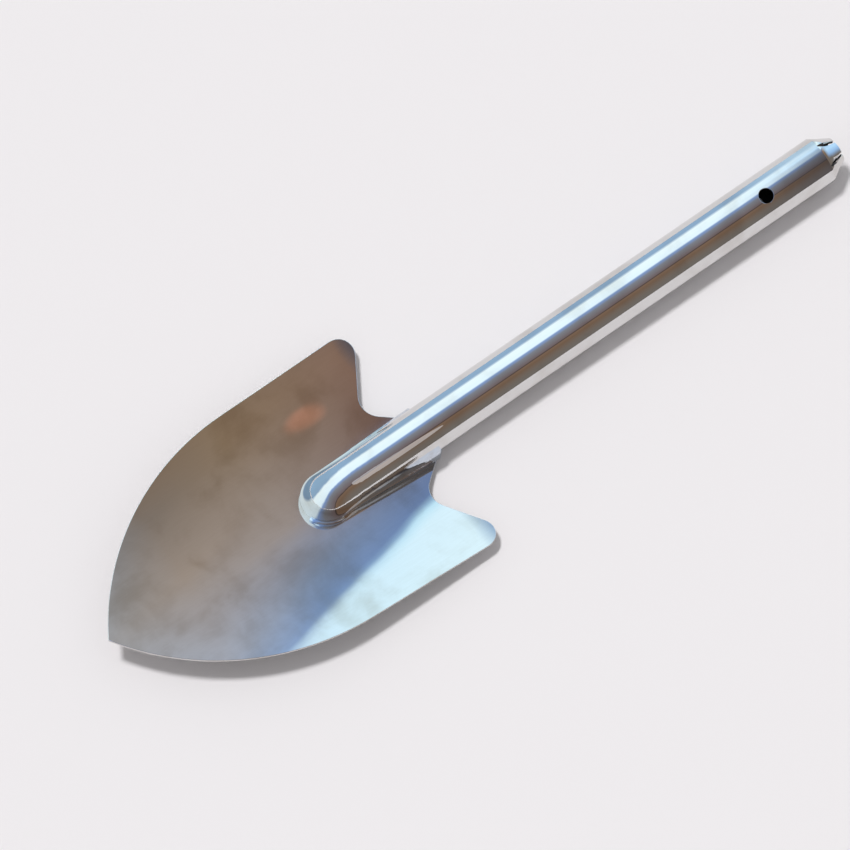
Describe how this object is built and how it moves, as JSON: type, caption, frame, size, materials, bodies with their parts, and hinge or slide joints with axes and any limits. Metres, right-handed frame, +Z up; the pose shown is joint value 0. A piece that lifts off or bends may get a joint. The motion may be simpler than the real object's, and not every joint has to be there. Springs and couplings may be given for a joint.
{
  "type": "detecting shovel",
  "caption": "Hand shovel for digging finds: a dished, pointed blade set in the slotted front of a straight tube handle with a hanging hole and folded end.",
  "frame": {"origin": "on the floor under the middle of the shovel's bounding box", "axes": "+X along the handle to its end, +Y to the blade's left, +Z up out of the blade's hollow face; the handle lies level on the floor"},
  "size_m": [0.4376, 0.1304, 0.025],
  "materials": {
    "polished_steel": "mirror polished stainless steel",
    "weld_steel": "ground and buffed stainless weld"
  },
  "bodies": {
    "root": {"blade": "polished_steel", "handle_tube": "polished_steel", "end_tongue_upper": "polished_steel", "end_tongue_right_upper": "polished_steel", "end_tongue_right_lower": "polished_steel", "end_tongue_lower": "polished_steel", "end_tongue_left_lower": "polished_steel", "end_tongue_left_upper": "polished_steel", "nose_cap_upper": "polished_steel", "nose_cap_lower": "polished_steel", "flank_weld_left": "weld_steel", "flank_weld_right": "weld_steel", "nose_weld": "weld_steel", "under_weld_left": "weld_steel", "under_weld_right": "weld_steel"}
  },
  "joints": []
}
